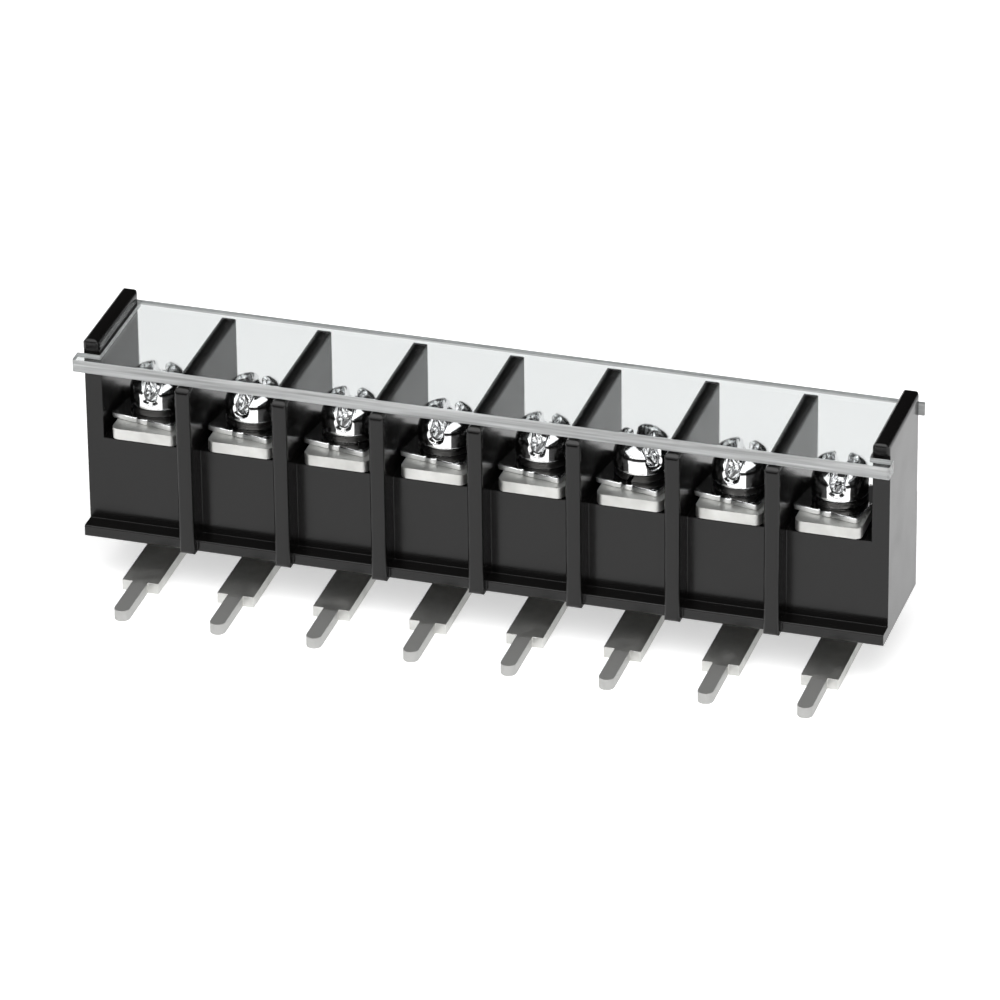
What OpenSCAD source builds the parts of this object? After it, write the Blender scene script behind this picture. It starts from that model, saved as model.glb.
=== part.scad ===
// Barrier terminal strip for a circuit board: eight ways between moulded barriers, each with a
// clamping screw on a flat terminal that leaves the underside and turns forward as a board pin,
// under a clear lift-off cover. Millimetres, +X along the row, +Y to the rear, +Z up.
// The origin is on the surface the strip stands on, under the middle of its outline.

/* [Row] */
// Number of ways, each with its own terminal and screw
ways = 8; // [8:1:8]
// Distance from one way to the next
pitch = 9.5; // [9:0.1:11]

/* [Housing] */
// Thickness of the barriers between the ways
barrier_t = 1.5; // [1.2:0.1:1.8]
// Depth of the barriers, front to rear
barrier_d = 14.4; // [14:0.1:15]
// Height of the barriers, where the cover rests
barrier_h = 17.7; // [17:0.1:19]
// Thickness of the two end walls
end_t = 1.65; // [1.4:0.05:2]
// Distance of an end wall's outer face beyond the row
end_over = 1; // [0.8:0.05:1.2]
// Height of the end walls, which rise past the cover
end_h = 20.4; // [20:0.1:21]
// Distance from the barriers' front edges back to the front of the body
body_front = 2.7; // [2.5:0.1:3]
// Distance from the barriers' front edges back to the rear of the body
body_rear = 13.3; // [13.2:0.1:13.4]
// Height of the body, which carries the terminals
body_h = 9.9; // [9.2:0.1:10.7]
// How far the foot ledge stands out from the body's front
ledge_out = 1.7; // [1.2:0.1:2]
// Height of the foot ledge
ledge_h = 1.15; // [0.8:0.05:1.5]
// How far the end walls' lips stand out over the front ears of the cover
front_lip = 0.45; // [0.2:0.05:0.5]
// How far the end walls' lips stand out over the rear ears of the cover
rear_lip = 0.25; // [0.1:0.05:0.25]

/* [Cover] */
// Thickness of the clear cover
cover_t = 1.25; // [1:0.05:1.4]
// Distance from the barriers' front edges back to the cover's front edge
cover_front = 0.4; // [0.2:0.1:0.6]
// Distance from the barriers' front edges back to the cover's rear edge
cover_rear = 14.2; // [14.1:0.1:14.4]
// How far the cover's ears stand out past the end walls
ear_over = 0.45; // [0.3:0.05:0.8]

/* [Terminals] */
// Thickness of the strip the terminals are stamped from
metal_t = 1.1; // [0.9:0.05:1.2]
// Width of the flat seat under the screw
seat_w = 6.4; // [6:0.1:7]
// Front edge of the seat, behind the barriers' front edges
seat_front = 2.2; // [1.9:0.1:2.4]
// Width of the leg and of the flat blade
blade_w = 3.6; // [3:0.1:4]
// Distance from the body's underside down to the top of the blade
blade_drop = 3.6; // [3:0.1:4.5]
// Rear face of the leg, behind the barriers' front edges
leg_rear = 12.2; // [12:0.1:12.2]
// Width of the board pin
pin_w = 1.5; // [1.2:0.1:1.6]
// Length of the board pin in front of the barriers
pin_l = 5.9; // [4.5:0.1:6.5]

/* [Screws] */
// Distance of the screws behind the barriers' front edges
screw_y = 6.9; // [6.6:0.1:7.2]
// Outer diameter of the screw thread
thread_d = 3; // [3:0.5:3]
// Length of the screw under its head
shank_l = 7; // [6:0.5:7]
// Diameter of the head
head_d = 5.4; // [5:0.1:5.8]
// Height of the head
head_h = 3; // [2.8:0.1:3.2]
// Height of the head's straight side, under the dome
head_side_h = 1.6; // [1.3:0.1:1.8]
// Width of the driving slot and of the cross
slot_w = 1.2; // [0.8:0.1:1.3]
// Outer diameter of the spring washer
spring_d = 5.3; // [5:0.1:5.8]
// Thickness of the spring washer
spring_t = 0.7; // [0.6:0.05:0.8]
// Side of the square flat washer that presses on the wire
flat_w = 6.6; // [5.8:0.1:6.6]
// Thickness of the flat washer
flat_t = 0.55; // [0.4:0.05:0.7]

/* [Hidden] */

black_plastic = [0.16, 0.155, 0.15];
clear_plastic = [0.88, 0.91, 0.92, 0.45];
tinned_metal = [0.82, 0.82, 0.8];
plated_steel = [0.76, 0.77, 0.78];

// Steps in a quarter of a moulded or stamped corner
corner_steps = 8;
round_fn = 64;
// Slack that lets a cutting shape run past the face it opens
cut = 0.5;

row_l = ways * pitch;
blade_z = -blade_drop - metal_t;
front_y = -pin_l;
outline_mid_y = (front_y + barrier_d) / 2;

// Corner radii of the barriers: front and rear in plan, across the top, front and rear from the side
barrier_front_r = 0.35;
barrier_rear_r = 0.6;
barrier_top_r = 0.6;
barrier_side_r = 0.8;
barrier_side_rear_r = 1.2;
barrier_foot_r = 0.45;
end_plan_r = 0.45;
end_top_r = 0.65;
// The lips start just above the cover and slope out to their full reach
lip_z = barrier_h + cover_t + 0.1;
lip_slope = 0.35;
lip_r = 0.45;
ledge_r = 0.15;

// Low pads that carry the seats a little above the body
pad_h = 0.3;
pad_inset = 0.8;
seat_h = body_h + pad_h;

// Slots and pockets in the body that take each terminal and screw
leg_gap = 0.1;
collar_r = 2.05;
collar_h = 1.2;
collar_pocket_r = 2.3;
shank_pocket_r = 1.8;
shank_pocket_floor = 4.6;

// Gaps round the cover: to the end walls' inner faces and past the lips
cover_side_gap = 0.15;
ear_gap = 0.1;
cover_edge_r = 0.3;
cover_corner_r = 0.4;

// Bends and corners of the terminals
bend_in = 0.5;
bend_out = bend_in + metal_t;
seat_corner_r = 0.7;
leg_front = leg_rear - metal_t;
seat_z = seat_h + metal_t;
thread_gap = 0.05;

// Screw stack, from the seat up
flat_z = seat_z;
spring_z = flat_z + flat_t;
head_z = spring_z + spring_t;
washer_hole_r = thread_d / 2 + 0.1;
// The tightened screw has dragged each flat washer round until its corners near the barriers
flat_turn = -11.5;
flat_corner_r = 0.4;
spring_split_w = 0.5;
spring_split_lean = 25;
// Angle from the screw's slot round to the split of its spring washer
spring_split_turn = 130;
// Radius of the ball that the head's dome is part of
head_r = head_d / 2;
dome_h = head_h - head_side_h;
dome_r = (head_r * head_r + dome_h * dome_h) / (2 * dome_h);
slot_depth = 2.15;
// Slope round the slot's mouth, over the dome and down the head's side
slot_lip = 0.35;
cross_depth = 2.4;
cross_l = 3.8;
cross_foot = 0.35;
shank_point = 0.5;
// Where each screw's slot points once it is tight, in degrees from the row
slot_turns = [93, 137, 94, 84, 92, 137, 85, 97];

// Points of an arc, centre [x, y], from one angle to another
function arc(x, y, r, from, to, steps = corner_steps) =
    [for (i = [0:steps]) let (a = from + (to - from) * i / steps) [x + r * cos(a), y + r * sin(a)]];

// Outline of a rectangle with four round corners, from its low corner to its high one
function round_box(x0, y0, x1, y1, r, far_r) = let (r1 = is_undef(far_r) ? r : far_r) concat(
    arc(x0 + r, y0 + r, r, 180, 270),
    arc(x1 - r, y0 + r, r, 270, 360),
    arc(x1 - r1, y1 - r1, r1, 0, 90),
    arc(x0 + r1, y1 - r1, r1, 90, 180)
);

// The same with only the two upper corners round
function round_top_box(x0, y0, x1, y1, r) = concat(
    [[x0, y0], [x1, y0]],
    arc(x1 - r, y1 - r, r, 0, 90),
    arc(x0 + r, y1 - r, r, 90, 180)
);

function way_x(way) = (way - 0.5) * pitch;

// Moves a shape drawn from the row's left end, the barriers' front edges and the body's
// underside to the part's own origin
module place() {
    translate([-row_l / 2, -outline_mid_y, -blade_z]) children();
}

// Extrudes an outline drawn in Y and Z along the row
module along_row(x0, x1) {
    translate([x0, 0, 0]) rotate([90, 0, 90]) linear_extrude(x1 - x0) children();
}

// Extrudes an outline drawn in X and Z from front to rear
module front_to_rear(y0, y1) {
    translate([0, y1, 0]) rotate([90, 0, 0]) linear_extrude(y1 - y0) children();
}

// A thin upright wall, round at its edges in all three views
module moulded_wall(x0, x1, y0, y1, height, front_r, rear_r, top_r) {
    intersection() {
        linear_extrude(height) polygon(round_box(x0, y0, x1, y1, front_r, rear_r));
        front_to_rear(y0 - cut, y1 + cut) polygon(round_top_box(x0, 0, x1, height, top_r));
        along_row(x0 - cut, x1 + cut) children();
    }
}

module barrier(x) {
    x0 = x - barrier_t / 2;
    x1 = x + barrier_t / 2;
    rear_r = barrier_side_rear_r;
    moulded_wall(x0, x1, 0, barrier_d, barrier_h, barrier_front_r, barrier_rear_r, barrier_top_r)
        polygon(concat(
            arc(barrier_foot_r, barrier_foot_r, barrier_foot_r, 180, 270),
            [[barrier_d, 0]],
            arc(barrier_d - rear_r, barrier_h - rear_r, rear_r, 0, 90),
            arc(barrier_side_r, barrier_h - barrier_side_r, barrier_side_r, 90, 180)
        ));
}

// Side view of an end wall: straight up to the cover, then a lip over the ears at each edge
module end_wall_side() {
    y0 = body_front - front_lip;
    y1 = body_rear + rear_lip;
    polygon(concat(
        [[body_front, 0], [body_rear, 0], [body_rear, lip_z], [y1, lip_z + lip_slope]],
        arc(y1 - lip_r, end_h - lip_r, lip_r, 0, 90),
        arc(y0 + lip_r, end_h - lip_r, lip_r, 90, 180),
        [[y0, lip_z + lip_slope], [body_front, lip_z]]
    ));
}

module end_wall(x0) {
    y0 = body_front - front_lip;
    y1 = body_rear + rear_lip;
    moulded_wall(x0, x0 + end_t, y0, y1, end_h, end_plan_r, end_plan_r, end_top_r) end_wall_side();
}

// Body and foot ledge in one side view, drawn along the whole row
module body_side() {
    y0 = body_front - ledge_out;
    polygon(concat(
        arc(y0 + ledge_r, ledge_r, ledge_r, 180, 270),
        [[body_rear, 0], [body_rear, body_h], [body_front, body_h], [body_front, ledge_h]],
        arc(y0 + ledge_r, ledge_h - ledge_r, ledge_r, 90, 180)
    ));
}

// Slot for the leg and stepped pocket for the seat's collar and the screw's point
module way_cut_outs(x) {
    translate([x - blade_w / 2 - leg_gap, leg_front - bend_in - leg_gap, -cut])
        cube([blade_w + 2 * leg_gap, bend_in + metal_t + 2 * leg_gap, seat_h + 2 * cut]);
    translate([x, screw_y, seat_h - collar_h - leg_gap])
        cylinder(h = collar_h + cut, r = collar_pocket_r, $fn = round_fn);
    translate([x, screw_y, shank_pocket_floor])
        cylinder(h = body_h, r = shank_pocket_r, $fn = round_fn);
}

// Low pad under a seat, inside the seat's outline so that it stays out of sight
module seat_pad(x) {
    translate([x - seat_w / 2 + pad_inset, body_front + pad_inset, body_h - cut])
        cube([seat_w - 2 * pad_inset, leg_rear - body_front - 2 * pad_inset, pad_h + cut]);
}

module housing() {
    color(black_plastic) place() difference() {
        union() {
            along_row(-end_over, row_l + end_over) body_side();
            for (way = [1:ways]) seat_pad(way_x(way));
            for (i = [1:ways - 1]) barrier(i * pitch);
            end_wall(-end_over);
            end_wall(row_l + end_over - end_t);
        }
        for (way = [1:ways]) way_cut_outs(way_x(way));
    }
}

// Plan of the cover: a sheet between the end walls whose four ears pass in front of and behind them
module cover_plan() {
    x0 = -end_over - ear_over;
    x1 = row_l + end_over + ear_over;
    in0 = -end_over + end_t + cover_side_gap;
    in1 = row_l - in0;
    front_ear = body_front - front_lip - ear_gap;
    rear_ear = body_rear + rear_lip + ear_gap;
    polygon(concat(
        arc(x0 + cover_corner_r, cover_front + cover_corner_r, cover_corner_r, 180, 270),
        arc(x1 - cover_corner_r, cover_front + cover_corner_r, cover_corner_r, 270, 360),
        [[x1, front_ear], [in1, front_ear], [in1, rear_ear], [x1, rear_ear]],
        arc(x1 - cover_edge_r, cover_rear - cover_edge_r, cover_edge_r, 0, 90),
        arc(x0 + cover_edge_r, cover_rear - cover_edge_r, cover_edge_r, 90, 180),
        [[x0, rear_ear], [in0, rear_ear], [in0, front_ear], [x0, front_ear]]
    ));
}

module cover() {
    color(clear_plastic) place() translate([0, 0, barrier_h]) intersection() {
        linear_extrude(cover_t) cover_plan();
        along_row(-end_over - ear_over - cut, row_l + end_over + ear_over + cut)
            polygon(round_box(cover_front, 0, cover_rear, cover_t, cover_edge_r));
    }
}

// Side view of a terminal: seat, bend, leg, bend, blade and pin as one folded strip
module terminal_side() {
    polygon(concat(
        [[seat_front, seat_h]],
        arc(leg_front - bend_in, seat_h - bend_in, bend_in, 90, 0),
        arc(leg_front - bend_in, blade_z + bend_out, bend_in, 0, -90),
        [[front_y, blade_z + metal_t], [front_y, blade_z]],
        arc(leg_front - bend_in, blade_z + bend_out, bend_out, -90, 0),
        arc(leg_front - bend_in, seat_h - bend_in, bend_out, 0, 90),
        [[seat_front, seat_z]]
    ));
}

module terminal_strip(x0, x1) {
    along_row(x0, x1) terminal_side();
}

// Seat, leg with blade, and pin cut to their widths from the folded strip, with a collar under the seat
module terminal(way) {
    x = way_x(way);
    color(tinned_metal) place() translate([x, 0, 0]) difference() {
        union() {
            intersection() {
                terminal_strip(-seat_w / 2, seat_w / 2);
                translate([0, 0, seat_h - cut]) linear_extrude(metal_t + 2 * cut)
                    polygon(round_box(-seat_w / 2, seat_front, seat_w / 2, leg_front - bend_in, seat_corner_r));
            }
            intersection() {
                terminal_strip(-blade_w / 2, blade_w / 2);
                translate([-blade_w / 2, 0, blade_z - cut])
                    cube([blade_w, leg_rear + cut, seat_z - blade_z + 2 * cut]);
            }
            intersection() {
                terminal_strip(-pin_w / 2, pin_w / 2);
                translate([0, 0, blade_z - cut]) linear_extrude(metal_t + 2 * cut) pin_plan();
            }
            translate([0, screw_y, seat_h - collar_h])
                cylinder(h = collar_h + metal_t / 2, r = collar_r, $fn = round_fn);
        }
        translate([0, screw_y, seat_h - collar_h - cut])
            cylinder(h = collar_h + metal_t + 2 * cut, r = thread_d / 2 + thread_gap, $fn = round_fn);
    }
}

// Plan of the board pin with its rounded tip
module pin_plan() {
    polygon(concat(
        [[pin_w / 2, metal_t], [-pin_w / 2, metal_t]],
        arc(0, front_y + pin_w / 2, pin_w / 2, 180, 360, 2 * corner_steps)
    ));
}

// Stands a washer's or screw's shape on its way's axis, at a height above the body's underside
module on_axis(way, z) {
    place() translate([way_x(way), screw_y, z]) children();
}

module washer_hole(thickness) {
    translate([0, 0, -cut]) cylinder(h = thickness + 2 * cut, r = washer_hole_r, $fn = round_fn);
}

// Square flat washer with round corners
module flat_washer(way) {
    half = flat_w / 2;
    color(plated_steel) on_axis(way, flat_z) rotate([0, 0, flat_turn]) difference() {
        linear_extrude(flat_t) polygon(round_box(-half, -half, half, half, flat_corner_r));
        washer_hole(flat_t);
    }
}

// The split leans as the wire was sheared
module spring_washer(way) {
    color(plated_steel) on_axis(way, spring_z) difference() {
        cylinder(h = spring_t, r = spring_d / 2, $fn = round_fn);
        washer_hole(spring_t);
        rotate([0, 0, slot_turns[way - 1] + spring_split_turn]) translate([spring_d / 2, 0, spring_t / 2])
            rotate([spring_split_lean, 0, 0])
                cube([spring_d, spring_split_w, spring_d], center = true);
    }
}

// Slot right across the head, with a round floor
module slot() {
    translate([0, 0, head_h - slot_depth + slot_w / 2]) {
        rotate([0, 90, 0]) cylinder(h = 2 * head_d, r = slot_w / 2, center = true, $fn = round_fn);
        translate([-head_d, -slot_w / 2, 0]) cube([2 * head_d, slot_w, slot_depth]);
    }
}

// The slot widens where it leaves the head's side
module slot_end() {
    reach = slot_lip + cut;
    wide = slot_w / 2 + reach;
    translate([head_r - slot_lip, 0, head_h - slot_depth + slot_w / 2]) {
        rotate([0, 90, 0]) cylinder(h = reach, r1 = slot_w / 2, r2 = wide, $fn = round_fn);
        linear_extrude(slot_depth) polygon([[0, -slot_w / 2], [reach, -wide], [reach, wide], [0, slot_w / 2]]);
    }
}

// Sloping edges of the slot, turned about the middle of the dome's ball so that they follow the dome
module slot_edges() {
    wide = slot_w / 2 + slot_lip + cut;
    intersection() {
        translate([0, 0, head_h - dome_r]) rotate([90, 0, 0]) rotate_extrude($fn = round_fn) polygon([
            [dome_r - slot_lip, -slot_w / 2], [dome_r + cut, -wide],
            [dome_r + cut, wide], [dome_r - slot_lip, slot_w / 2]
        ]);
        translate([-head_d, -head_d, head_side_h]) cube([2 * head_d, 2 * head_d, head_h]);
    }
}

// The slot with a cross whose arms narrow towards their foot
module drive_recess() {
    slot();
    slot_edges();
    for (turn = [0, 180]) rotate([0, 0, turn]) slot_end();
    for (turn = [0, 90])
        rotate([90, 0, turn]) translate([0, head_h - cross_depth, -slot_w / 2])
            linear_extrude(slot_w) polygon([
                [-cross_l / 2 * cross_foot, 0], [cross_l / 2 * cross_foot, 0],
                [cross_l / 2, cross_depth], [-cross_l / 2, cross_depth]
            ]);
}

module screw(way) {
    color(plated_steel) on_axis(way, head_z) rotate([0, 0, slot_turns[way - 1]]) difference() {
        union() {
            intersection() {
                cylinder(h = head_h, r = head_r, $fn = round_fn);
                translate([0, 0, head_h - dome_r]) sphere(dome_r, $fn = round_fn);
            }
            translate([0, 0, -shank_l + shank_point])
                cylinder(h = shank_l - shank_point + head_side_h / 4, r = thread_d / 2, $fn = round_fn);
            translate([0, 0, -shank_l])
                cylinder(h = shank_point, r1 = thread_d / 2 - shank_point, r2 = thread_d / 2, $fn = round_fn);
        }
        drive_recess();
    }
}

housing();
cover();
for (way = [1:ways]) {
    terminal(way);
    flat_washer(way);
    spring_washer(way);
    screw(way);
}
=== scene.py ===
import math

import bmesh
import bpy
from mathutils import Euler, Matrix, Vector


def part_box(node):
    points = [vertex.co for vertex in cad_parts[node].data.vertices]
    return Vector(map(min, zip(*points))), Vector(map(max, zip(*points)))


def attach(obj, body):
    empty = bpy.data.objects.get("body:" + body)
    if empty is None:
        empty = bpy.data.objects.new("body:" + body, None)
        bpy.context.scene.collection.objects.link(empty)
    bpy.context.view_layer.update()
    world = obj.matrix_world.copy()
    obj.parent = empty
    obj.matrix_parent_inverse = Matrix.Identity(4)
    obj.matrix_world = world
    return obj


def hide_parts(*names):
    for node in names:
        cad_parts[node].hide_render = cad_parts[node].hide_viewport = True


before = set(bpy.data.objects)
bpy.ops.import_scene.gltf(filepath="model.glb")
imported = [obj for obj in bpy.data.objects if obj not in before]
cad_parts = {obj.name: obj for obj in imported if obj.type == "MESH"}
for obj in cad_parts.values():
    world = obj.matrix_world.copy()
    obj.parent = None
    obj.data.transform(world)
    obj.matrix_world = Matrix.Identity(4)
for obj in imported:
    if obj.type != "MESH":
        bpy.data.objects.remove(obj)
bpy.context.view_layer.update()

ways = range(1, 9)
mm = 0.001
noiseSpan = (0.3, 0.7)  # where most values of a noise lie
noiseDetail = 3.0


# Short ways to write node trees, for materials and for shapes

def addNode(tree, kind, settings=None, values=None):
    node = tree.nodes.new(kind)
    for name, value in (settings or {}).items():
        setattr(node, name, value)
    for name, value in (values or {}).items():
        node.inputs[name].default_value = value
    return node


def join(tree, node, links):
    for name, socket in links.items():
        tree.links.new(socket, node.inputs[name])
    return node


def mathNode(tree, operation, a, b=None, clamp=False):
    node = addNode(tree, "ShaderNodeMath", {"operation": operation, "use_clamp": clamp})
    for index, value in enumerate((a, b)):
        if value is None:
            continue
        if isinstance(value, (int, float)):
            node.inputs[index].default_value = value
        else:
            tree.links.new(value, node.inputs[index])
    return node.outputs[0]


def plus(tree, a, b):
    return mathNode(tree, "ADD", a, b)


def minus(tree, a, b):
    return mathNode(tree, "SUBTRACT", a, b)


def times(tree, a, b):
    return mathNode(tree, "MULTIPLY", a, b)


def over(tree, a, b):
    return mathNode(tree, "DIVIDE", a, b)


def blend(tree, factor, first, second):
    return plus(tree, first, times(tree, factor, minus(tree, second, first)))


def rampNode(tree, factor, stops):  # from low to high becomes to low to high, with both ends held
    labels = ("From Min", "From Max", "To Min", "To Max")
    node = addNode(tree, "ShaderNodeMapRange", {"clamp": True}, dict(zip(labels, stops)))
    tree.links.new(factor, node.inputs["Value"])
    return node.outputs["Result"]


def mixColour(tree, factor, first, second):
    node = addNode(tree, "ShaderNodeMix", {"data_type": "RGBA"})
    for socket, value in ((node.inputs[0], factor), (node.inputs[6], first), (node.inputs[7], second)):
        if isinstance(value, tuple):
            socket.default_value = (*value, 1.0)
        else:
            tree.links.new(value, socket)
    return node.outputs[2]


def makeBump(tree, height, strength, distance, normal=None):
    bump = addNode(tree, "ShaderNodeBump", values={"Strength": strength, "Distance": distance})
    tree.links.new(height, bump.inputs["Height"])
    if normal is not None:
        tree.links.new(normal, bump.inputs["Normal"])
    return bump.outputs["Normal"]


def newGroup(name, inputs, outputs):
    group = bpy.data.node_groups.new(name, "ShaderNodeTree")
    for label, default in inputs.items():
        socket = group.interface.new_socket(label, in_out="INPUT", socket_type="NodeSocketFloat")
        socket.default_value = default
    for label, kind in outputs.items():
        group.interface.new_socket(label, in_out="OUTPUT", socket_type=kind)
    return group, group.nodes.new("NodeGroupInput"), group.nodes.new("NodeGroupOutput")


def useGroup(tree, group, values):
    return addNode(tree, "ShaderNodeGroup", {"node_tree": group}, values).outputs


def newMaterial(name):
    material = bpy.data.materials.new(name)
    material.use_nodes = True
    tree = material.node_tree
    return material, tree, tree.nodes["Principled BSDF"]


# Effects that several materials share

patchDetail = 2.0
skinRoughness = 0.55  # how much the noise's finer layers count


def makeGrainGroup():  # fine noise of a moulded or rolled skin, with broader drifts in shine
    inputs = {"Grain Size": 0.15, "Patch Size": 6.0}
    outputs = {"Grain": "NodeSocketFloat", "Patches": "NodeSocketFloat"}
    group, entry, leave = newGroup("surfaceGrain", inputs, outputs)
    coords = addNode(group, "ShaderNodeTexCoord")
    layers = (("Grain Size", "Grain", noiseDetail), ("Patch Size", "Patches", patchDetail))
    for label, output, detail in layers:
        noise = addNode(group, "ShaderNodeTexNoise", values={"Detail": detail, "Roughness": skinRoughness})
        group.links.new(coords.outputs["Object"], noise.inputs["Vector"])
        group.links.new(over(group, 1 / mm, entry.outputs[label]), noise.inputs["Scale"])
        group.links.new(noise.outputs["Fac"], leave.inputs[output])
    return group


edgeHighlightEffect = {
    "samples": 6,
    "edgeDots": (0.995, 0.85),  # rounded normal times face normal, at no painted highlight and at full painted highlight
    "noiseScale": 900.0,
}


def makeEdgeHighlightGroup(look):  # mask of the painted edge highlight, high where the rounded normal leans from the face, broken up by noise; also gives the rounded normal
    outputs = {"Mask": "NodeSocketFloat", "Normal": "NodeSocketVector"}
    group, entry, leave = newGroup("edgeHighlightAndRounding", {"Radius": 0.1, "Breakup": 0.5}, outputs)
    bevel = addNode(group, "ShaderNodeBevel", {"samples": look["samples"]})
    group.links.new(times(group, entry.outputs["Radius"], mm), bevel.inputs["Radius"])
    geometry = addNode(group, "ShaderNodeNewGeometry")
    lean = addNode(group, "ShaderNodeVectorMath", {"operation": "DOT_PRODUCT"})
    group.links.new(bevel.outputs["Normal"], lean.inputs[0])
    group.links.new(geometry.outputs["Normal"], lean.inputs[1])
    edge = rampNode(group, lean.outputs["Value"], (*look["edgeDots"], 0.0, 1.0))
    coords = addNode(group, "ShaderNodeTexCoord")
    noise = addNode(group, "ShaderNodeTexNoise", values={"Scale": look["noiseScale"], "Detail": noiseDetail})
    group.links.new(coords.outputs["Object"], noise.inputs["Vector"])
    broken = times(group, noise.outputs["Fac"], entry.outputs["Breakup"])
    group.links.new(mathNode(group, "SUBTRACT", edge, broken, clamp=True), leave.inputs["Mask"])
    group.links.new(bevel.outputs["Normal"], leave.inputs["Normal"])
    return group


def makeStreakGroup(name, stretch):  # noise drawn out into long marks, in one direction
    group, entry, leave = newGroup(name, {"Width": 0.3}, {"Streaks": "NodeSocketFloat"})
    coords = addNode(group, "ShaderNodeTexCoord")
    drawn = addNode(group, "ShaderNodeMapping", values={"Scale": stretch})
    noise = addNode(group, "ShaderNodeTexNoise", values={"Detail": noiseDetail})
    group.links.new(coords.outputs["Object"], drawn.inputs["Vector"])
    group.links.new(drawn.outputs[0], noise.inputs["Vector"])
    group.links.new(over(group, 1 / mm, entry.outputs["Width"]), noise.inputs["Scale"])
    group.links.new(noise.outputs["Fac"], leave.inputs["Streaks"])
    return group


grainGroup = makeGrainGroup()
edgeHighlightGroup = makeEdgeHighlightGroup(edgeHighlightEffect)
sawGroup = makeStreakGroup("sawMarks", (0.03, 1.0, 1.0))  # along the row
rolledGroup = makeStreakGroup("rolledMarks", (1.0, 0.04, 0.04))  # along each strip, round its folds


# Sizes in the materials are in millimetres
mouldingLook = {
    "colour": (0.0034, 0.0031, 0.003),
    # edgeColour is a painted highlight, a lighter colour laid along the rounded edges
    "edgeColour": (0.012, 0.0115, 0.011),
    "roughness": (0.16, 0.26),
    "shine": 0.37,
    "grainSize": 0.16,
    "grainHeight": 0.0025,
    "grainStrength": 0.35,
    "patchSize": 7.0,
    "edgeRadius": 0.12,
    "edgeBreakup": 0.7,
}


def makeMoulding(look):
    material, tree, shader = newMaterial("blackMoulding")
    shader.inputs["Specular IOR Level"].default_value = look["shine"]
    grain = useGroup(tree, grainGroup, {"Grain Size": look["grainSize"], "Patch Size": look["patchSize"]})
    edgeHighlightAndRound = useGroup(tree, edgeHighlightGroup, {"Radius": look["edgeRadius"], "Breakup": look["edgeBreakup"]})
    # painted highlight: the edges take the lighter edge colour where the mask is high
    colour = mixColour(tree, edgeHighlightAndRound["Mask"], look["colour"], look["edgeColour"])
    roughness = rampNode(tree, grain["Patches"], (*noiseSpan, *look["roughness"]))
    normal = makeBump(tree, grain["Grain"], look["grainStrength"], look["grainHeight"] * mm, edgeHighlightAndRound["Normal"])
    join(tree, shader, {"Base Color": colour, "Roughness": roughness, "Normal": normal})
    return material


tinLook = {
    "colour": (0.7, 0.7, 0.68),
    "dull": (0.54, 0.54, 0.52),
    "roughness": (0.4, 0.56),
    "grainSize": 0.22,
    "grainHeight": 0.006,
    "edgeRadius": 0.08,
    "rolledWidth": 0.16,
    "rolledHeight": 0.006,
    "rolledStrength": 0.6,
    "dipStart": -4.4,  # the pins are dipped in solder in front of this
    "dipFade": 0.4,
    "dipColour": (0.5, 0.5, 0.49),
    "dipRoughness": 0.62,
}
shearedLook = {
    "colour": (0.86, 0.86, 0.86),
    "dull": (0.66, 0.66, 0.66),
    "roughness": (0.3, 0.55),
    "grainSize": 0.2,
    "grainHeight": 0.01,
    "edgeRadius": 0.08,
}
# colour and dull are painted shade: the spring washer is made near black for the shade that falls under the
# screw head
springPaintedShadeLook = {
    "colour": (0.09, 0.088, 0.085),
    "dull": (0.04, 0.039, 0.038),
    "roughness": (0.2, 0.4),
    "grainSize": 0.2,
    "grainHeight": 0.006,
    "edgeRadius": 0.06,
}
nickelLook = {
    "colour": (0.9, 0.9, 0.9),
    "dull": (0.8, 0.8, 0.81),
    "roughness": (0.04, 0.1),
    "grainSize": 0.35,
    "grainHeight": 0.003,
    "edgeRadius": 0.1,
}
metalPatch = 1.6
metalBreakup = 0.5
metalGrainStrength = 0.3


def makeMetal(name, look):
    material, tree, shader = newMaterial(name)
    grain = useGroup(tree, grainGroup, {"Grain Size": look["grainSize"], "Patch Size": metalPatch})
    edgeHighlightAndRound = useGroup(tree, edgeHighlightGroup, {"Radius": look["edgeRadius"], "Breakup": metalBreakup})
    shader.inputs["Metallic"].default_value = 1.0
    colour = mixColour(tree, grain["Patches"], look["colour"], look["dull"])
    roughness = rampNode(tree, grain["Patches"], (*noiseSpan, *look["roughness"]))
    normal = makeBump(tree, grain["Grain"], metalGrainStrength, look["grainHeight"] * mm, edgeHighlightAndRound["Normal"])
    if "dipStart" in look:
        coords = addNode(tree, "ShaderNodeTexCoord")
        split = join(tree, addNode(tree, "ShaderNodeSeparateXYZ"), {"Vector": coords.outputs["Object"]})
        start = look["dipStart"] * mm
        dipped = rampNode(tree, split.outputs["Y"], (start, start - look["dipFade"] * mm, 0.0, 1.0))
        colour = mixColour(tree, dipped, colour, look["dipColour"])
        roughness = blend(tree, dipped, roughness, look["dipRoughness"])
    if "rolledHeight" in look:
        rolled = useGroup(tree, rolledGroup, {"Width": look["rolledWidth"]})
        normal = makeBump(tree, rolled["Streaks"], look["rolledStrength"], look["rolledHeight"] * mm, normal)
    join(tree, shader, {"Base Color": colour, "Roughness": roughness, "Normal": normal})
    return material


coverLook = {
    "colour": (0.765, 0.785, 0.785),
    "ior": 1.49,
    "roughness": (0.02, 0.06),
    "shadow": (0.9, 0.92, 0.92),
    "grainSize": 1.2,
    "patchSize": 9.0,
    "edgeColour": (0.72, 0.73, 0.73),
    "edgeDull": (0.36, 0.365, 0.365),
    "edgeRoughness": (0.35, 0.7),
    "edgeClear": 0.3,  # share of the light that still passes a sawn edge
    "sawMark": 0.3,
    "sawHeight": 0.02,
    "sawStrength": 0.5,
    "edgeRound": 0.08,
    "levelFace": 0.99,  # faces with more of their normal along Z are polished
}


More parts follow.
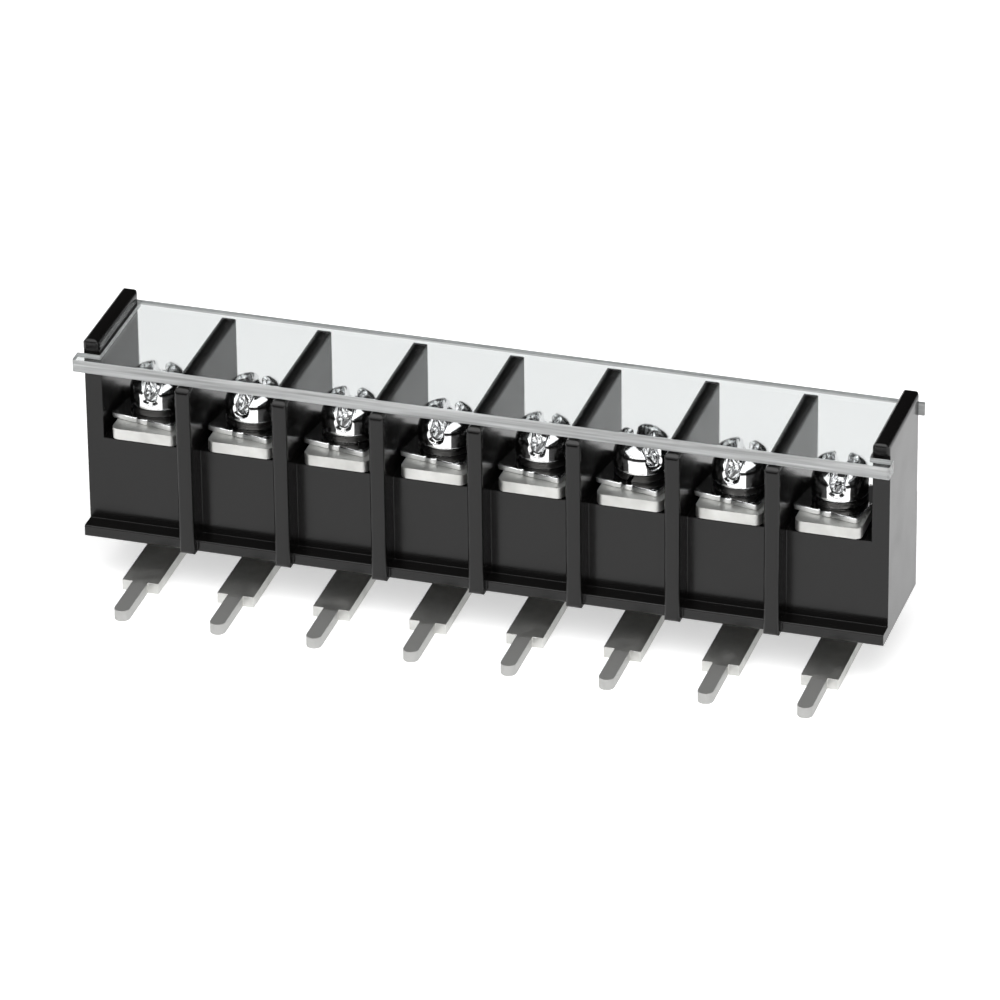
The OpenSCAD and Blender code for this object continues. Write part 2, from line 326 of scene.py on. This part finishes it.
def letShadowThrough(material, shader, colour):  # clear pieces colour their shadows only slightly
    tree = material.node_tree
    path = addNode(tree, "ShaderNodeLightPath")
    through = addNode(tree, "ShaderNodeBsdfTransparent", values={"Color": (*colour, 1.0)})
    mix = addNode(tree, "ShaderNodeMixShader")
    tree.links.new(path.outputs["Is Shadow Ray"], mix.inputs[0])
    tree.links.new(shader.outputs[0], mix.inputs[1])
    tree.links.new(through.outputs[0], mix.inputs[2])
    tree.links.new(mix.outputs[0], tree.nodes["Material Output"].inputs["Surface"])


def makeClearPlastic(look):
    material, tree, shader = newMaterial("clearPlastic")
    shader.inputs["Transmission Weight"].default_value = 1.0
    shader.inputs["IOR"].default_value = look["ior"]
    shader.inputs["Base Color"].default_value = (*look["colour"], 1.0)
    grain = useGroup(tree, grainGroup, {"Grain Size": look["grainSize"], "Patch Size": look["patchSize"]})
    join(tree, shader, {"Roughness": rampNode(tree, grain["Patches"], (*noiseSpan, *look["roughness"]))})
    letShadowThrough(material, shader, look["shadow"])
    return material


def makeSawnEdge(look):
    material, tree, shader = newMaterial("sawnPlasticEdge")
    shader.inputs["Transmission Weight"].default_value = look["edgeClear"]
    shader.inputs["IOR"].default_value = look["ior"]
    marks = useGroup(tree, sawGroup, {"Width": look["sawMark"]})["Streaks"]
    worn = rampNode(tree, marks, (*noiseSpan, 0.0, 1.0))
    colour = mixColour(tree, worn, look["edgeColour"], look["edgeDull"])
    roughness = rampNode(tree, marks, (*noiseSpan, *look["edgeRoughness"]))
    normal = makeBump(tree, marks, look["sawStrength"], look["sawHeight"] * mm)
    join(tree, shader, {"Base Color": colour, "Roughness": roughness, "Normal": normal})
    letShadowThrough(material, shader, look["shadow"])
    return material


moulding = makeMoulding(mouldingLook)
tin = makeMetal("tinnedStrip", tinLook)
nickel = makeMetal("nickelSteel", nickelLook)
# the spring washer's material carries painted shade, a near-black colour for the shade under the head
springPaintedShade = makeMetal("springWasherPaintedShade", springPaintedShadeLook)
sheared = makeMetal("shearedEdge", shearedLook)
clearPlastic = makeClearPlastic(coverLook)
sawnEdge = makeSawnEdge(coverLook)


def dress(node, material):
    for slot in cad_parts[node].material_slots:
        slot.material = material


dress("housing", moulding)
dress("cover", clearPlastic)
for way in ways:
    dress(f"terminal_{way}", tin)
    for kind in ("flat_washer", "spring_washer", "screw"):
        dress(f"{kind}_{way}", nickel)
print("materials are on the packed pieces")


def newShape(name, sizes, measured):  # a geometry tree; each piece gives the measured inputs
    tree = bpy.data.node_groups.new(name, "GeometryNodeTree")
    for label in (*sizes, *measured):
        socket = tree.interface.new_socket(label, in_out="INPUT", socket_type="NodeSocketFloat")
        socket.default_value = sizes.get(label, 0.0)
    tree.interface.new_socket("Shape", in_out="OUTPUT", socket_type="NodeSocketGeometry")
    return tree, tree.nodes.new("NodeGroupInput").outputs, tree.nodes.new("NodeGroupOutput")


def finishShape(tree, shape, leave, material):
    real = join(tree, addNode(tree, "GeometryNodeRealizeInstances"), {"Geometry": shape})
    painted = join(tree, addNode(tree, "GeometryNodeSetMaterial"), {"Geometry": real.outputs[0]})
    painted.inputs["Material"].default_value = material
    tree.links.new(painted.outputs[0], leave.inputs["Shape"])


def vectorFrom(tree, parts):
    return join(tree, addNode(tree, "ShaderNodeCombineXYZ"), parts).outputs[0]


meshCare = {
    "mergeGap": 1e-6,  # corners nearer than this are one
    "flatAngle": 0.5,  # faces that meet at less are one, in degrees
    "roundedAngle": 40,  # edges sharper than this are rounded
    "roundedSteps": 3,
    "smoothAngle": 32,
}


def smoothShade(mesh, angle):
    mesh.shade_smooth()
    mesh.set_sharp_from_angle(angle=math.radians(angle))


def inPlace(piece, body, node):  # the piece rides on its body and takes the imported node's place
    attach(piece, body)
    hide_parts(node)


def newPiece(name, mesh):
    piece = bpy.data.objects.new(name, mesh)
    bpy.context.scene.collection.objects.link(piece)
    return piece


def makePlain(piece):  # its modifiers' result as a plain mesh
    graph = bpy.context.evaluated_depsgraph_get()
    plain = bpy.data.meshes.new_from_object(piece.evaluated_get(graph), depsgraph=graph)
    piece.modifiers.clear()
    piece.data = plain
    return plain


def growPiece(name, tree, sizes, place, node, body):  # one plain mesh from a tree
    piece = newPiece(name, bpy.data.meshes.new(name))
    modifier = piece.modifiers.new("shape", "NODES")
    modifier.node_group = tree
    for item in tree.interface.items_tree:
        if item.in_out == "INPUT" and item.name in sizes:
            modifier[item.identifier] = sizes[item.name]
    plain = makePlain(piece)
    plain.name = name
    plain.transform(Matrix.Translation(place))
    smoothShade(plain, meshCare["smoothAngle"])
    inPlace(piece, body, node)


def softenPiece(name, node, body, width, share=None):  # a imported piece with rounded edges
    piece = newPiece(name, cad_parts[node].data.copy())
    shape = bmesh.new()
    shape.from_mesh(piece.data)
    bmesh.ops.remove_doubles(shape, verts=shape.verts, dist=meshCare["mergeGap"])
    flat = math.radians(meshCare["flatAngle"])
    bmesh.ops.dissolve_limit(shape, angle_limit=flat, verts=shape.verts, edges=shape.edges)
    weights = shape.edges.layers.float.new("bevel_weight_edge")
    for edge in shape.edges:
        if len(edge.link_faces) == 2 and edge.calc_face_angle() > math.radians(meshCare["roundedAngle"]):
            edge[weights] = share(edge) if share else 1.0
    shape.to_mesh(piece.data)
    shape.free()
    smoothShade(piece.data, meshCare["roundedAngle"])
    rounding = piece.modifiers.new("rounding", "BEVEL")
    rounding.limit_method = "WEIGHT"
    rounding.width = width
    rounding.segments = meshCare["roundedSteps"]
    rounding.harden_normals = True
    makePlain(piece)
    inPlace(piece, body, node)
    return piece


squareWasher = {
    "side": 6.6 * mm,
    "corner": 0.4 * mm,
    "cornerSteps": 6,
    "edge": 0.1 * mm,
    "edgeSteps": 2,
    "holeSteps": 48,
    "turn": -11.5,  # degrees
    "tabHalf": 0.57 * mm,  # half a stub of the tab that held the washer, with a notch on each side
    "notchWide": 0.16 * mm,
    "notchDeep": 0.16 * mm,
    "uprightFace": 0.3,  # faces with less of their normal along Z are sheared ones
    "levelFace": 0.999,  # faces with more of it are flat ones
}


def squareOutline(look):  # plan of the square washer, with the notches in front and behind
    half, corner, steps = look["side"] / 2, look["corner"], look["cornerSteps"]
    wide, deep = look["notchWide"], look["notchDeep"]
    front = []
    for middle in (-look["tabHalf"], look["tabHalf"]):
        front += [(middle - wide / 2, -half), (middle - wide / 4, -half + deep)]
        front += [(middle + wide / 4, -half + deep), (middle + wide / 2, -half)]
    angles = [math.radians(90 * step / steps - 90) for step in range(steps + 1)]
    bend = [(half - corner + corner * math.cos(a), corner - half + corner * math.sin(a)) for a in angles]
    farRight = [(x, -y) for x, y in reversed(bend)]
    nearLeft = [(-x, y) for x, y in reversed(bend)]
    return front + bend + farRight + [(-x, -y) for x, y in front + bend] + nearLeft


def makeSquareWasher(way, look, spot, height, hole):
    curve = bpy.data.curves.new(f"flatWasher{way}", "CURVE")
    curve.dimensions = "2D"
    curve.fill_mode = "BOTH"
    angles = [math.radians(360 * step / look["holeSteps"]) for step in range(look["holeSteps"])]
    for loop in (squareOutline(look), [(hole * math.cos(a), hole * math.sin(a)) for a in angles]):
        spline = curve.splines.new("POLY")
        spline.points.add(len(loop) - 1)
        spline.points.foreach_set("co", [value for x, y in loop for value in (x, y, 0.0, 1.0)])
        spline.use_cyclic_u = True
    curve.bevel_depth = look["edge"]
    curve.bevel_resolution = look["edgeSteps"]
    curve.offset = -look["edge"]
    curve.extrude = height / 2 - look["edge"]
    drawn = newPiece(f"flatWasherOutline{way}", curve)
    plain = bpy.data.meshes.new_from_object(drawn.evaluated_get(bpy.context.evaluated_depsgraph_get()))
    bpy.data.objects.remove(drawn)
    turn = Matrix.Rotation(math.radians(look["turn"]), 4, "Z")
    plain.transform(Matrix.Translation(spot + Vector((0, 0, height / 2))) @ turn)
    shape = bmesh.new()
    shape.from_mesh(plain)
    bmesh.ops.remove_doubles(shape, verts=shape.verts, dist=meshCare["mergeGap"])
    shape.to_mesh(plain)
    shape.free()
    plain.materials.clear()
    for material in (nickel, sheared):
        plain.materials.append(material)
    for face in plain.polygons:
        face.material_index = 1 if abs(face.normal.z) < look["uprightFace"] else 0
        face.use_smooth = abs(face.normal.z) < look["levelFace"]
    inPlace(newPiece(f"flatWasher{way}", plain), f"washers_{way}", f"flat_washer_{way}")


springWasher = {
    "Edge": 0.12 * mm,
    "Split Angle": math.radians(9),
    "Lean": math.radians(25),
    "Rise": 0.05 * mm,  # how far the split's ends stand apart in height
    "Turn": math.radians(130),  # from the screw's slot to the split
}
springMesh = {"ringPoints": 90, "cornerPoints": 3}


def makeSpringTree(material):  # a flat bar bent to a ring that stays open at a leaning split
    tree, size, leave = newShape("splitWasher", springWasher, ("Outer Radius", "Hole Radius", "Thickness"))
    width = minus(tree, size["Outer Radius"], size["Hole Radius"])
    middle = times(tree, plus(tree, size["Outer Radius"], size["Hole Radius"]), 0.5)
    bar = addNode(tree, "GeometryNodeCurvePrimitiveQuadrilateral")
    join(tree, bar, {"Width": width, "Height": size["Thickness"]})
    corners = {"Count": springMesh["cornerPoints"]}
    rounded = addNode(tree, "GeometryNodeFilletCurve", {"mode": "POLY"}, corners)
    join(tree, rounded, {"Curve": bar.outputs[0], "Radius": size["Edge"]})
    arc = addNode(tree, "GeometryNodeCurveArc", {"mode": "RADIUS"}, {"Resolution": springMesh["ringPoints"]})
    path = join(tree, arc, {
        "Radius": middle,
        "Start Angle": plus(tree, size["Turn"], times(tree, size["Split Angle"], 0.5)),
        "Sweep Angle": minus(tree, 2 * math.pi, size["Split Angle"]),
    })
    along = addNode(tree, "GeometryNodeSplineParameter").outputs["Factor"]
    rise = vectorFrom(tree, {"Z": times(tree, minus(tree, along, 0.5), size["Rise"])})
    helix = addNode(tree, "GeometryNodeSetPosition")
    join(tree, helix, {"Geometry": path.outputs[0], "Offset": rise})
    ring = addNode(tree, "GeometryNodeCurveToMesh", values={"Fill Caps": True})
    join(tree, ring, {"Curve": helix.outputs[0], "Profile Curve": rounded.outputs[0]})
    spot = addNode(tree, "GeometryNodeInputPosition").outputs[0]
    height = join(tree, addNode(tree, "ShaderNodeSeparateXYZ"), {"Vector": spot}).outputs["Z"]
    twist = over(tree, times(tree, height, mathNode(tree, "TANGENT", size["Lean"])), middle)
    turned = addNode(tree, "ShaderNodeVectorRotate", {"rotation_type": "Z_AXIS"})
    join(tree, turned, {"Vector": spot, "Angle": twist})
    leaning = addNode(tree, "GeometryNodeSetPosition")
    join(tree, leaning, {"Geometry": ring.outputs[0], "Position": turned.outputs[0]})
    finishShape(tree, leaning.outputs[0], leave, material)
    return tree


screw = {
    "Head Height": 2.95 * mm,
    "Side Height": 1.175 * mm,
    "Shoulder": 1.3 * mm,  # radius that joins the head's side to its domed top
    "Dome": 3.6 * mm,
    "Foot Round": 0.2 * mm,
    "Slot Width": 1.2 * mm,
    "Slot Depth": 2.1 * mm,
    "Slot Lip": 0.35 * mm,
    "Cross Width": 1.2 * mm,
    "Cross Length": 3.8 * mm,
    "Cross Depth": 2.35 * mm,
    "Cross Foot": 0.35,  # length of the cross at its floor, as a share of that at its mouth
    "Cross Lip": 0.2 * mm,
    "Thread Radius": 1.5 * mm,
    "Thread Pitch": 0.5 * mm,
    "Thread Depth": 0.3 * mm,
    "Shank Length": 7.0 * mm,
}
slotTurns = (93, 81, 94, 84, 92, 131, 85, 97)  # where each slot points, in degrees from the row
washerPlay = 0.1 * mm

screwMesh = {
    "sides": 96,
    "levels": 40,
    "sideLevels": 0.25,  # share of the levels that the head's upright side takes
    "topLean": math.radians(88),
    "slotReach": 2.12,  # length of the slot's cutter, in head radii
    "shankSides": 48,
    "coilSteps": 32,
    "crestCorners": 4,
    "crestShare": 0.98,
    "threadEnds": (0.6, 1.5),  # plain lengths at the tip and in all, in pitches
}
recessMesh = {
    "steps": (40, 9, 12),  # corners along, across and up the cutter
    "sideShare": 0.95,  # of the head's radius, where the slot's flare at the side ends
    "floorLevels": 0.3,  # share of the height below the lips
    "lipRise": 1.2,  # from the lips' start to the top, in lip radii
    "topLevel": 0.92,
    "topRise": 0.6 * mm,  # takes the cutter clear of the dome between the lips
    "leastSquare": 1e-9,  # keeps the root real beyond the dome's edge
}


def domeHeight(tree, size, x, y):  # height of the dome above a point of its plan
    far = plus(tree, times(tree, x, x), times(tree, y, y))
    rest = minus(tree, times(tree, size["Dome"], size["Dome"]), far)
    rest = mathNode(tree, "MAXIMUM", rest, recessMesh["leastSquare"])
    return plus(tree, minus(tree, size["Head Height"], size["Dome"]), mathNode(tree, "SQRT", rest))


def circleHeight(tree, amount):  # height of a circle of radius 1 above a point of its diameter
    return mathNode(tree, "SQRT", mathNode(tree, "SUBTRACT", 1.0, times(tree, amount, amount), clamp=True))


def roundOff(tree, amount, radius):  # how far a rounded edge has drawn in, for 0 to 1 of its height
    return times(tree, radius, minus(tree, 1.0, circleHeight(tree, amount)))


def recessCutter(tree, size, length, width, depth, foot, lip, turn):  # trough, round floor, flared lips
    look = recessMesh
    counts = dict(zip(("Vertices X", "Vertices Y", "Vertices Z"), look["steps"]))
    block = addNode(tree, "GeometryNodeMeshCube", values={"Size": (1, 1, 1)} | counts)
    spot = addNode(tree, "GeometryNodeInputPosition")
    x, y, z = join(tree, addNode(tree, "ShaderNodeSeparateXYZ"), {"Vector": spot.outputs[0]}).outputs
    level = plus(tree, z, 0.5)
    along = times(tree, x, length)
    across = times(tree, y, 2.0)
    half = times(tree, width, 0.5)
    flareStart = minus(tree, times(tree, size["Head Radius"], look["sideShare"]), lip)
    past = minus(tree, mathNode(tree, "ABSOLUTE", along), flareStart)
    past = mathNode(tree, "DIVIDE", past, lip, clamp=True)
    sideFlare = roundOff(tree, past, lip)
    middle = plus(tree, minus(tree, size["Head Height"], depth), half)
    floor = minus(tree, middle, times(tree, plus(tree, half, sideFlare), circleHeight(tree, across)))
    lipStart = minus(tree, domeHeight(tree, size, along, plus(tree, half, lip)), lip)
    low = rampNode(tree, level, (0.0, look["floorLevels"], 0.0, 1.0))
    high = rampNode(tree, level, (look["floorLevels"], 1.0, 0.0, look["lipRise"]))
    up = plus(tree, blend(tree, low, floor, lipStart), times(tree, high, lip))
    up = plus(tree, up, rampNode(tree, level, (look["topLevel"], 1.0, 0.0, look["topRise"])))
    topFlare = roundOff(tree, mathNode(tree, "MINIMUM", high, 1.0), lip)
    flare = mathNode(tree, "MAXIMUM", topFlare, sideFlare)
    taper = blend(tree, over(tree, minus(tree, up, floor), depth), foot, 1.0)
    place = vectorFrom(tree, {
        "X": times(tree, along, taper),
        "Y": times(tree, across, plus(tree, half, flare)),
        "Z": up,
    })
    shaped = addNode(tree, "GeometryNodeSetPosition")
    join(tree, shaped, {"Geometry": block.outputs["Mesh"], "Position": place})
    turned = addNode(tree, "GeometryNodeTransform", values={"Rotation": (0, 0, turn)})
    return join(tree, turned, {"Geometry": shaped.outputs[0]}).outputs[0]


def makeHead(tree, size):  # upright side, rounded shoulder and ball-shaped top
    look = screwMesh
    blank = addNode(tree, "GeometryNodeMeshCylinder", {"fill_type": "NGON"},
                    {"Vertices": look["sides"], "Side Segments": look["levels"]})
    join(tree, blank, {"Radius": size["Head Radius"], "Depth": size["Head Height"]})
    spot = addNode(tree, "GeometryNodeInputPosition")
    x, y, z = join(tree, addNode(tree, "ShaderNodeSeparateXYZ"), {"Vector": spot.outputs[0]}).outputs
    level = plus(tree, over(tree, z, size["Head Height"]), 0.5)
    sideUp = times(tree, rampNode(tree, level, (0.0, look["sideLevels"], 0.0, 1.0)), size["Side Height"])
    foot = mathNode(tree, "SUBTRACT", 1.0, over(tree, sideUp, size["Foot Round"]), clamp=True)
    lean = rampNode(tree, level, (look["sideLevels"], 1.0, 0.0, look["topLean"]))
    sine, cosine = mathNode(tree, "SINE", lean), mathNode(tree, "COSINE", lean)
    inner = minus(tree, size["Head Radius"], size["Shoulder"])
    gap = minus(tree, size["Dome"], size["Shoulder"])
    onDome = mathNode(tree, "LESS_THAN", times(tree, gap, cosine), inner)
    shoulderOut = plus(tree, inner, times(tree, size["Shoulder"], cosine))
    reach = blend(tree, onDome, shoulderOut, times(tree, size["Dome"], cosine))
    reach = minus(tree, reach, roundOff(tree, foot, size["Foot Round"]))
    shoulderUp = plus(tree, sideUp, times(tree, size["Shoulder"], sine))
    domeUp = plus(tree, minus(tree, size["Head Height"], size["Dome"]), times(tree, size["Dome"], sine))
    shrink = over(tree, reach, size["Head Radius"])
    place = vectorFrom(tree, {
        "X": times(tree, x, shrink),
        "Y": times(tree, y, shrink),
        "Z": blend(tree, onDome, shoulderUp, domeUp),
    })
    head = addNode(tree, "GeometryNodeSetPosition")
    return join(tree, head, {"Geometry": blank.outputs["Mesh"], "Position": place}).outputs[0]


def cutRecess(tree, size, head):  # a slot from side to side and a deeper cross
    slotLength = times(tree, size["Head Radius"], screwMesh["slotReach"])
    slot = (slotLength, size["Slot Width"], size["Slot Depth"], 1.0, size["Slot Lip"])
    cross = [size[f"Cross {part}"] for part in ("Length", "Width", "Depth", "Foot", "Lip")]
    cutters = [recessCutter(tree, size, *slot, 0.0)]
    cutters += [recessCutter(tree, size, *cross, turn) for turn in (0.0, math.pi / 2)]
    cut = addNode(tree, "GeometryNodeMeshBoolean", {"operation": "DIFFERENCE", "solver": "EXACT"},
                  {"Self Intersection": True})
    join(tree, cut, {"Mesh 1": head})
    for cutter in cutters:
        tree.links.new(cutter, cut.inputs["Mesh 2"])
    return cut.outputs["Mesh"]


def makeThread(tree, size):  # the shank's core and the ridge that winds round it
    look = screwMesh
    core = minus(tree, size["Thread Radius"], size["Thread Depth"])
    rod = addNode(tree, "GeometryNodeMeshCylinder", {"fill_type": "NGON"}, {"Vertices": look["shankSides"]})
    join(tree, rod, {"Radius": core, "Depth": size["Shank Length"]})
    down = vectorFrom(tree, {"Z": times(tree, size["Shank Length"], -0.5)})
    shank = addNode(tree, "GeometryNodeTransform")
    join(tree, shank, {"Geometry": rod.outputs["Mesh"], "Translation": down})
    tipPlain, allPlain = look["threadEnds"]
    threaded = minus(tree, size["Shank Length"], times(tree, size["Thread Pitch"], allPlain))
    coil = join(tree, addNode(tree, "GeometryNodeCurveSpiral", values={"Resolution": look["coilSteps"]}), {
        "Rotations": over(tree, threaded, size["Thread Pitch"]),
        "Start Radius": core,
        "End Radius": core,
        "Height": threaded,
    })
    crest = addNode(tree, "GeometryNodeCurvePrimitiveCircle", values={"Resolution": look["crestCorners"]})
    join(tree, crest, {"Radius": times(tree, size["Thread Depth"], look["crestShare"])})
    thread = addNode(tree, "GeometryNodeCurveToMesh", values={"Fill Caps": True})
    join(tree, thread, {"Curve": coil.outputs[0], "Profile Curve": crest.outputs[0]})
    drop = minus(tree, times(tree, size["Thread Pitch"], tipPlain), size["Shank Length"])
    placed = addNode(tree, "GeometryNodeTransform")
    join(tree, placed, {"Geometry": thread.outputs[0], "Translation": vectorFrom(tree, {"Z": drop})})
    return shank.outputs[0], placed.outputs[0]


def makeScrewTree(material):
    tree, size, leave = newShape("crossSlotScrew", screw, ("Head Radius", "Turn"))
    parts = addNode(tree, "GeometryNodeJoinGeometry")
    for part in (cutRecess(tree, size, makeHead(tree, size)), *makeThread(tree, size)):
        tree.links.new(part, parts.inputs[0])
    turned = addNode(tree, "GeometryNodeTransform")
    join(tree, turned, {"Geometry": parts.outputs[0], "Rotation": vectorFrom(tree, {"Z": size["Turn"]})})
    finishShape(tree, turned.outputs[0], leave, material)
    return tree


def ringSizes(node):  # middle of a round node's underside, its radius and its height
    low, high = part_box(node)
    return Vector(((low.x + high.x) / 2, (low.y + high.y) / 2, low.z)), (high.x - low.x) / 2, high.z - low.z


def makeFasteners():
    springTree, screwTree = makeSpringTree(springPaintedShade), makeScrewTree(nickel)
    hole = screw["Thread Radius"] + washerPlay
    for way in ways:
        turn = math.radians(slotTurns[way - 1])
        spot, _, height = ringSizes(f"flat_washer_{way}")
        makeSquareWasher(way, squareWasher, spot, height, hole)
        spot, radius, height = ringSizes(f"spring_washer_{way}")
        sizes = springWasher | {
            "Outer Radius": radius,
            "Hole Radius": hole,
            "Thickness": height - springWasher["Rise"],
            "Turn": turn + springWasher["Turn"],
        }
        spot.z += height / 2
        growPiece(f"springWasher{way}", springTree, sizes, spot,
                  f"spring_washer_{way}", f"washers_{way}")
        spot, radius, height = ringSizes(f"screw_{way}")
        spot.z += screw["Shank Length"]
        growPiece(f"screw{way}", screwTree, screw | {"Head Radius": radius, "Turn": turn}, spot,
                  f"screw_{way}", f"screw_{way}")


makeFasteners()
print("screws and washers are in place")


strip = {
    "edge": 0.13 * mm,
    "pinEdge": 0.3 * mm,
    "pinStart": -4.2 * mm,  # the pin lies in front of this
}


def makeTerminals(look):  # packed terminals with the rounded edges of punched strip
    def share(edge):
        onPin = max(corner.co.y for corner in edge.verts) < look["pinStart"]
        return 1.0 if onPin else look["edge"] / look["pinEdge"]
    for way in ways:
        softenPiece(f"contactStrip{way}", f"terminal_{way}", "strip", look["pinEdge"], share)


makeTerminals(strip)
print("terminals have their punched edges")


def makeCover(look):  # polished above and below, sawn all round
    sheet = softenPiece("clearCover", "cover", "cover", look["edgeRound"] * mm)
    sheet.data.materials.clear()
    for material in (clearPlastic, sawnEdge):
        sheet.data.materials.append(material)
    for face in sheet.data.polygons:
        face.material_index = 0 if abs(face.normal.z) > look["levelFace"] else 1


makeCover(coverLook)
print("the cover has its sawn edges")


studio = {
    "floorColour": (0.86, 0.86, 0.86),
    "floorGlow": 0.55,
    "floorRoughness": 0.9,
    "floorShine": 0.1,
    "floorHalf": 1.5,
    "floorDrop": 0.02 * mm,
    "horizon": (0.15, 0.35),  # between these heights the sky fades from white to dim
    "skyDim": 0.03,
    "softboxes": (-45, 10, 65),  # azimuths in degrees
    "softboxElevation": 54,
    "softboxWatts": 1.05,
    "softboxSize": (0.42, 0.48),
    "softboxDistance": 0.45,
}


def seenRays(tree, kinds):  # 1 for rays of these kinds
    path = addNode(tree, "ShaderNodeLightPath")
    seen = path.outputs[kinds[0]]
    for kind in kinds[1:]:
        seen = mathNode(tree, "MAXIMUM", seen, path.outputs[kind])
    return seen


def makeFloor(look):
    mesh = bpy.data.meshes.new("floor")
    half, drop = look["floorHalf"], -look["floorDrop"]
    corners = [(-half, -half, drop), (half, -half, drop), (half, half, drop), (-half, half, drop)]
    mesh.from_pydata(corners, [], [(0, 1, 2, 3)])
    material, tree, shader = newMaterial("paleFloor")
    shader.inputs["Base Color"].default_value = (*look["floorColour"], 1.0)
    shader.inputs["Roughness"].default_value = look["floorRoughness"]
    shader.inputs["Specular IOR Level"].default_value = look["floorShine"]
    shader.inputs["Emission Color"].default_value = (1, 1, 1, 1)
    seen = seenRays(tree, ("Is Camera Ray", "Is Glossy Ray", "Is Transmission Ray"))
    join(tree, shader, {"Emission Strength": times(tree, seen, look["floorGlow"])})
    mesh.materials.append(material)
    newPiece("floor", mesh)


def makeSky(look):
    world = bpy.data.worlds.new("studioSky")
    world.use_nodes = True
    bpy.context.scene.world = world
    tree = world.node_tree
    background = tree.nodes["Background"]
    background.inputs["Color"].default_value = (1, 1, 1, 1)
    coords = addNode(tree, "ShaderNodeTexCoord")
    split = join(tree, addNode(tree, "ShaderNodeSeparateXYZ"), {"Vector": coords.outputs["Generated"]})
    horizon = rampNode(tree, split.outputs["Z"], (*look["horizon"], 1.0, 0.0))
    white = times(tree, horizon, seenRays(tree, ("Is Camera Ray", "Is Transmission Ray")))
    join(tree, background, {"Strength": rampNode(tree, white, (0.0, 1.0, look["skyDim"], 1.0))})


def makeSoftboxes(look):
    elevation = math.radians(look["softboxElevation"])
    for number, azimuth in enumerate(look["softboxes"], 1):
        lamp = bpy.data.lights.new(f"softbox{number}", "AREA")
        lamp.shape = "RECTANGLE"
        lamp.size, lamp.size_y = look["softboxSize"]
        lamp.energy = look["softboxWatts"]
        holder = newPiece(f"softbox{number}", lamp)
        side = Matrix.Rotation(math.radians(azimuth), 3, "Z") @ Vector((0, -math.cos(elevation), 0))
        away = side + Vector((0, 0, math.sin(elevation)))
        place = Matrix.Translation(away * look["softboxDistance"])
        holder.matrix_world = place @ away.to_track_quat("Z", "Y").to_matrix().to_4x4()


viewPoint = {
    "position": (0.19116, -0.61494, 0.36287),
    "turn": (61.4559, 0.578, 16.8524),  # degrees about X, Y and Z
    "lens": 282.7,
    "clip": (0.05, 20.0),
}


def makeCamera(view):
    camera = bpy.data.cameras.new("camera")
    camera.lens = view["lens"]
    camera.clip_start, camera.clip_end = view["clip"]
    holder = newPiece("camera", camera)
    holder.location = view["position"]
    holder.rotation_euler = Euler([math.radians(angle) for angle in view["turn"]])
    bpy.context.scene.camera = holder


makeFloor(studio)
makeSky(studio)
makeSoftboxes(studio)
makeCamera(viewPoint)
bpy.context.scene.view_settings.view_transform = "Standard"
print("studio and camera are ready")
